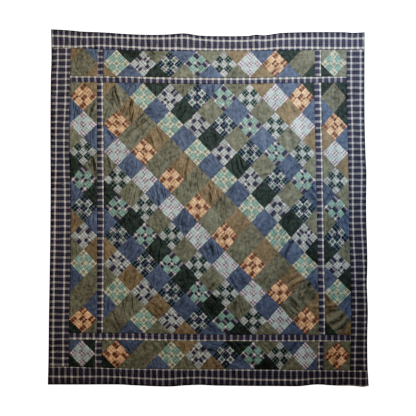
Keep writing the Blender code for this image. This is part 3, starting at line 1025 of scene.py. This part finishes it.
def weave_group():
    """Plain weave: warp and weft yarns pass over each other in turn, and each takes some colour
    from the other, because light bounces between them."""
    tree, given, out = new_group(
        "plain_weave",
        [("Across", "NodeSocketFloat", 0.0), ("Along", "NodeSocketFloat", 0.0),
         ("Warp", "NodeSocketColor", (1, 1, 1, 1)), ("Weft", "NodeSocketColor", (1, 1, 1, 1)),
         ("Thread", "NodeSocketFloat", THREAD), ("Contrast", "NodeSocketFloat", 0.5),
         ("Lead", "NodeSocketFloat", 0.0), ("Cover", "NodeSocketFloat", 0.0)],
        [("Color", "NodeSocketColor"), ("Height", "NodeSocketFloat")])
    over = sum_up(tree, "DIVIDE", given["Across"], given["Thread"])
    along = sum_up(tree, "DIVIDE", given["Along"], given["Thread"])
    cells = sum_up(tree, "ADD", sum_up(tree, "FLOOR", over), sum_up(tree, "FLOOR", along))
    odd = sum_up(tree, "MULTIPLY", sum_up(tree, "FRACT", sum_up(tree, "MULTIPLY", cells, 0.5)), 2.0)
    lean = sum_up(tree, "MULTIPLY", sum_up(tree, "SUBTRACT", odd, 0.5), given["Contrast"])
    share = sum_up(tree, "ADD", sum_up(tree, "ADD", lean, 0.5), given["Lead"])
    shown = []
    for own, other in (("Weft", "Warp"), ("Warp", "Weft")):
        main = add(tree, "ShaderNodeGamma", {0: given[own], 1: 1.0 - BOUNCE}).outputs[0]
        bounced = add(tree, "ShaderNodeGamma", {0: given[other], 1: BOUNCE}).outputs[0]
        shown.append(blend_colours(tree, 1.0, main, bounced, "MULTIPLY"))
    mixed = blend_colours(tree, share, *shown)
    paler = blend_colours(tree, 1.0, given["Warp"], given["Weft"], "LIGHTEN")
    tree.links.new(blend_colours(tree, given["Cover"], mixed, paler), out["Color"])
    hump_over = sum_up(tree, "SINE", sum_up(tree, "MULTIPLY", sum_up(tree, "FRACT", over), math.pi))
    hump_along = sum_up(tree, "SINE", sum_up(tree, "MULTIPLY", sum_up(tree, "FRACT", along), math.pi))
    height = add(tree, "ShaderNodeMix", {0: odd, 2: hump_along, 3: hump_over}).outputs[0]
    tree.links.new(height, out["Height"])
    return tree


def folds_group():
    """Narrow drag folds: soft ridges parted by narrower troughs, stretched along the pull. The
    troughs' depth also goes out to set painted shade.
    """
    tree, given, out = new_group(
        "drag_folds",
        [("Pull", "NodeSocketVector", (0, 0, 0)), ("Slack", "NodeSocketFloat", 0.0)],
        [("Height", "NodeSocketFloat"), ("Trough_Shade", "NodeSocketFloat")])
    stretched = add(tree, "ShaderNodeVectorMath", {0: given["Pull"], 1: (5.0, 28.0, 0.0)},
                    operation="MULTIPLY").outputs[0]
    wave = add(tree, "ShaderNodeTexNoise",
               {"Vector": stretched, "Scale": 1.0, "Detail": 2.0, "Roughness": 0.5,
                "Distortion": 0.9}).outputs[0]
    centred = sum_up(tree, "SUBTRACT", wave, 0.5)
    below = sum_up(tree, "DIVIDE", sum_up(tree, "ADD", centred, FOLD_EDGE), -FOLD_RUN)
    trough = add(tree, "ShaderNodeClamp", {0: below}).outputs[0]
    trough = sum_up(tree, "MULTIPLY", sum_up(tree, "MULTIPLY", trough, trough), given["Slack"])
    soft = sum_up(tree, "MULTIPLY", sum_up(tree, "MULTIPLY", centred, given["Slack"]), FOLD_SOFT)
    height = sum_up(tree, "SUBTRACT", soft, sum_up(tree, "MULTIPLY", trough, FOLD_DEEP))
    tree.links.new(height, out["Height"])
    tree.links.new(trough, out["Trough_Shade"])
    return tree


def handling_group():
    """Washed cloth that has lain in folds, with painted light in its colour: mottling, tone from patch
    to patch, painted shade along seams, on the turned edge, in drag-fold troughs and in crease
    hollows, painted highlight on crease ridges, and fine crumple.
    """
    tree, given, out = new_group(
        "washed_cotton",
        [("Color", "NodeSocketColor", (1, 1, 1, 1)), ("Mottle", "NodeSocketFloat", 0.2),
         ("Tone", "NodeSocketFloat", 0.0), ("Seam", "NodeSocketFloat", 0.0),
         ("Trough_Shade", "NodeSocketFloat", 0.0), ("Crease_Light", "NodeSocketFloat", 0.0)],
        [("Color", "NodeSocketColor"), ("Roughness", "NodeSocketFloat"),
         ("Height", "NodeSocketFloat")])
    place = add(tree, "ShaderNodeTexCoord").outputs["Object"]
    patchy = add(tree, "ShaderNodeTexNoise",
                 {"Vector": place, "Scale": 46.0, "Detail": 3.0, "Roughness": 0.6}).outputs[0]
    broad = add(tree, "ShaderNodeTexNoise",
                {"Vector": place, "Scale": 9.0, "Detail": 2.0, "Roughness": 0.5}).outputs[0]
    mixed = sum_up(tree, "ADD", sum_up(tree, "MULTIPLY", patchy, 0.7),
                   sum_up(tree, "MULTIPLY", broad, 0.3))
    swing = sum_up(tree, "MULTIPLY", sum_up(tree, "SUBTRACT", mixed, 0.5), given["Mottle"])
    level = sum_up(tree, "MULTIPLY_ADD", swing, MOTTLE_LIGHT, 1.0)
    level = sum_up(tree, "ADD", level, sum_up(tree, "MULTIPLY", given["Tone"], TONE_LIGHT))
    # painted shade along seams and on the turned edge
    seam_and_edge_shade = sum_up(tree, "MULTIPLY", given["Seam"], given["Seam"])
    level = sum_up(tree, "SUBTRACT", level, sum_up(tree, "MULTIPLY", seam_and_edge_shade, SEAM_DARK))
    # painted shade in the drag folds' troughs
    trough_shade = sum_up(tree, "MULTIPLY", given["Trough_Shade"], TROUGH_DARK)
    level = sum_up(tree, "SUBTRACT", level, trough_shade)
    # painted highlight on crease ridges, for their sheen, and painted shade in crease hollows
    level = sum_up(tree, "ADD", level, given["Crease_Light"])
    level = sum_up(tree, "MAXIMUM", level, LEAST_LIGHT)
    scaled = add(tree, "ShaderNodeVectorMath", {0: given["Color"], 3: level}, operation="SCALE")
    tree.links.new(scaled.outputs[0], out["Color"])
    rough = sum_up(tree, "MULTIPLY_ADD", patchy, 0.16, 0.68)
    tree.links.new(rough, out["Roughness"])
    crumple = add(tree, "ShaderNodeTexNoise",
                  {"Vector": place, "Scale": 52.0, "Detail": 4.0, "Roughness": 0.55,
                   "Distortion": 0.9}).outputs[0]
    tree.links.new(crumple, out["Height"])
    return tree


def stripe_ramp(tree, position, stripes):
    """Colours of one set of yarns, from a place in metres along the repeat of its stripes."""
    repeat = sum(width for width, _ in stripes)
    from_start = sum_up(tree, "ADD", position, stripes[0][0] / 2 * MM)
    turn = sum_up(tree, "FRACT", sum_up(tree, "DIVIDE", from_start, repeat * MM))
    ramp = add(tree, "ShaderNodeValToRGB", {0: turn})
    ramp.color_ramp.interpolation = "CONSTANT"
    elements = ramp.color_ramp.elements
    elements.remove(elements[1])
    start = 0.0
    for i, (width, yarn) in enumerate(stripes):
        stop = elements[0] if i == 0 else elements.new(start / repeat)
        stop.position = start / repeat
        stop.color = (*YARNS[yarn], 1.0)
        start += width
    return ramp.outputs[0]


def cloth_material(name, warp, weft, mottle, crumple, weave, folds, handling):
    made = bpy.data.materials.new(name)
    made.use_nodes = True
    tree = made.node_tree
    shader = tree.nodes["Principled BSDF"]
    shader.inputs["Metallic"].default_value = 0.0
    shader.inputs["Specular IOR Level"].default_value = 0.4
    shader.inputs["Sheen Weight"].default_value = 0.0

    def attribute(label):
        return add(tree, "ShaderNodeAttribute", attribute_name=label).outputs["Fac"]

    grain = add(tree, "ShaderNodeUVMap", uv_map="grain").outputs[0]
    pull = add(tree, "ShaderNodeUVMap", uv_map="pull").outputs[0]
    split = add(tree, "ShaderNodeSeparateXYZ", {0: grain}).outputs
    lead, cover = UNEVEN.get(name, (0.0, 0.0))
    gathered = add(tree, "ShaderNodeGroup", {"Pull": pull, "Slack": attribute("slack")},
                   node_tree=folds).outputs
    woven = add(tree, "ShaderNodeGroup",
                {"Across": split[0], "Along": split[1], "Warp": stripe_ramp(tree, split[0], warp),
                 "Weft": stripe_ramp(tree, split[1], weft), "Lead": lead, "Cover": cover},
                node_tree=weave).outputs
    # the seam, trough and crease inputs bring painted shade and painted highlight into the colour
    finish = add(tree, "ShaderNodeGroup",
                 {"Color": woven["Color"], "Mottle": mottle, "Tone": attribute("tone"),
                  "Seam": attribute("seam"), "Trough_Shade": gathered["Trough_Shade"],
                  "Crease_Light": attribute("crease")},
                 node_tree=handling).outputs
    tree.links.new(finish["Color"], shader.inputs["Base Color"])
    tree.links.new(finish["Roughness"], shader.inputs["Roughness"])
    height = sum_up(tree, "MULTIPLY_ADD", woven["Height"], YARN_HEIGHT, gathered["Height"])
    height = sum_up(tree, "MULTIPLY_ADD", finish["Height"], crumple * MM, height)
    bump = add(tree, "ShaderNodeBump", {"Strength": 1.0, "Distance": 1.0, "Height": height})
    tree.links.new(bump.outputs[0], shader.inputs["Normal"])
    made.diffuse_color = (*YARNS[warp[0][1]], 1.0)
    return made


def make_cloths():
    groups = weave_group(), folds_group(), handling_group()
    for name, (warp, weft, mottle, crumple) in CLOTHS.items():
        cloth_material(name, warp, weft, mottle, crumple, *groups)


# Stage, in metres

FLOOR_SIDE = 60.0
FLOOR_DROP = 0.0006       # below the quilt's underside
FLOOR_COLOUR = (0.9, 0.9, 0.9)
FLOOR_GLOW = 1.6
ROOM_COLOUR = (1.00, 0.80, 0.63, 1.0)
ROOM_STRENGTH = 0.32
CAMERA_X = -0.002
FRAME_WIDTH = 2.825       # what the camera sees across at the quilt

# Soft boxes in a row over the quilt's right side: (x, power in watts, colour)
SOFT_BOXES = {
    "cool_soft_box": (1.75, 79.0, (0.78, 1.0, 1.24)),
    "warm_soft_box": (0.65, 32.0, (1.18, 1.0, 0.79)),
}
BOX_SIZE = (1.6, 1.2)
BOX_Y = 0.84
BOX_Z = 2.04
BOX_AIM = (-3.27, 2.06, -2.04)


def plain_material(name, colour, glow):
    made = bpy.data.materials.new(name)
    made.use_nodes = True
    shader = made.node_tree.nodes["Principled BSDF"]
    shader.inputs["Base Color"].default_value = (*colour, 1.0)
    shader.inputs["Roughness"].default_value = 0.9
    shader.inputs["Emission Color"].default_value = (1.0, 1.0, 1.0, 1.0)
    shader.inputs["Emission Strength"].default_value = glow
    return made


def make_floor():
    bpy.ops.mesh.primitive_plane_add(size=FLOOR_SIDE, location=(0.0, 0.0, -FLOOR_DROP))
    floor = bpy.context.object
    floor.name = "pale_floor"
    floor.data.materials.append(plain_material("pale_floor", FLOOR_COLOUR, FLOOR_GLOW))


def aim(thing, target):
    away = np.array(thing.location) - np.array(target)
    flat = math.hypot(away[0], away[1])
    thing.rotation_euler = (math.atan2(flat, away[2]), 0.0, math.atan2(away[0], -away[1]))


def make_light():
    """A cool and a warm soft box towards the head, and a plain warm room."""
    world = bpy.data.worlds.new("room")
    world.use_nodes = True
    sky = world.node_tree.nodes["Background"]
    sky.inputs["Color"].default_value = ROOM_COLOUR
    sky.inputs["Strength"].default_value = ROOM_STRENGTH
    bpy.context.scene.world = world
    for name, (x, power, colour) in SOFT_BOXES.items():
        lamp = bpy.data.lights.new(name, "AREA")
        lamp.shape = "RECTANGLE"
        lamp.size, lamp.size_y = BOX_SIZE
        lamp.energy = power
        lamp.color = colour
        holder = bpy.data.objects.new(name, lamp)
        bpy.context.scene.collection.objects.link(holder)
        holder.location = (x, BOX_Y, BOX_Z)
        holder.visible_camera = False
        aim(holder, np.array(holder.location) + BOX_AIM)


def make_camera():
    lens = 100.0
    sensor = 36.0
    camera = bpy.data.cameras.new("camera")
    camera.lens = lens
    camera.sensor_width = sensor
    holder = bpy.data.objects.new("camera", camera)
    bpy.context.scene.collection.objects.link(holder)
    holder.location = (CAMERA_X, 0.0, FRAME_WIDTH * lens / sensor)
    bpy.context.scene.camera = holder


# The photograph's tone: deep shadows and soft highlights, as (light, tone)
TONE_CURVE = [
    (0.0, 0.0), (0.0203, 0.005), (0.0418, 0.020), (0.0629, 0.040), (0.0992, 0.080),
    (0.133, 0.120), (0.204, 0.200), (0.300, 0.300), (0.406, 0.400), (0.531, 0.500),
    (0.689, 0.600), (0.891, 0.700), (1.0, 0.745),
]


def set_tone():
    view = bpy.context.scene.view_settings
    view.view_transform = "Standard"
    view.use_curve_mapping = True
    mapping = view.curve_mapping
    mapping.extend = "EXTRAPOLATED"
    curve = mapping.curves[3]
    curve.points[0].location = TONE_CURVE[0]
    curve.points[1].location = TONE_CURVE[-1]
    for light, tone in TONE_CURVE[1:-1]:
        curve.points.new(light, tone)
    mapping.update()


# Quilt

def make_quilt():
    across_count, down_count = FIELD_BLOCKS
    columns = [UP["sash_left_in"]] + COLUMN_LINES + [UP["sash_right_in"]]
    rows = [CROSS["sash_foot_in"]] + ROW_LINES[::-1] + [CROSS["sash_head_in"]]
    left = [UP["border_left"], UP["sash_left_out"]]
    right = [UP["sash_right_out"], UP["border_right"]]
    head = [CROSS["sash_head_out"], CROSS["border_head"]]
    foot = [CROSS["border_foot"], CROSS["sash_foot_out"]]

    panels = [
        ("centre_field", columns, rows, (0, 0)),
        ("head_panel", columns, head, (0, down_count)),
        ("foot_panel", columns, foot, (0, -1)),
        ("left_panel", left, rows, (-1, 0)),
        ("right_panel", right, rows, (across_count, 0)),
        ("corner_head_left", left, head, (-1, down_count)),
        ("corner_head_right", right, head, (across_count, down_count)),
        ("corner_foot_left", left, foot, (-1, -1)),
        ("corner_foot_right", right, foot, (across_count, -1)),
    ]
    for number, (name, up, across, first) in enumerate(panels):
        patchwork(name, number, up, across, first)

    panel_to_panel = [UP["border_left"], UP["border_right"]]
    field_rows = [CROSS["sash_foot_in"], CROSS["sash_head_in"]]
    left_sash = [UP["sash_left_out"], UP["sash_left_in"]]
    right_sash = [UP["sash_right_in"], UP["sash_right_out"]]
    sashes = [
        ("sash_head", panel_to_panel, [CROSS["sash_head_in"], CROSS["sash_head_out"]], False),
        ("sash_foot", panel_to_panel, [CROSS["sash_foot_out"], CROSS["sash_foot_in"]], False),
        ("sash_left", left_sash, field_rows, True),
        ("sash_right", right_sash, field_rows, True),
        ("short_sash_head_left", left_sash, head, True),
        ("short_sash_head_right", right_sash, head, True),
        ("short_sash_foot_left", left_sash, foot, True),
        ("short_sash_foot_right", right_sash, foot, True),
    ]
    for number, (name, up, across, lengthwise) in enumerate(sashes):
        sash(name, number, up, across, lengthwise)

    whole_width = [UP["outer_left"], UP["outer_right"]]
    inside = [CROSS["border_foot"], CROSS["border_head"]]
    borders = [
        ("border_head", whole_width, [CROSS["border_head"], CROSS["outer_head"]], False, True),
        ("border_foot", whole_width, [CROSS["outer_foot"], CROSS["border_foot"]], False, False),
        ("border_left", [UP["outer_left"], UP["border_left"]], inside, True, False),
        ("border_right", [UP["border_right"], UP["outer_right"]], inside, True, True),
    ]
    for number, (name, up, across, lengthwise, outer_last) in enumerate(borders):
        border(name, number, up, across, lengthwise, outer_last)


make_camera()
set_tone()
make_light()
make_floor()
make_cloths()
make_quilt()
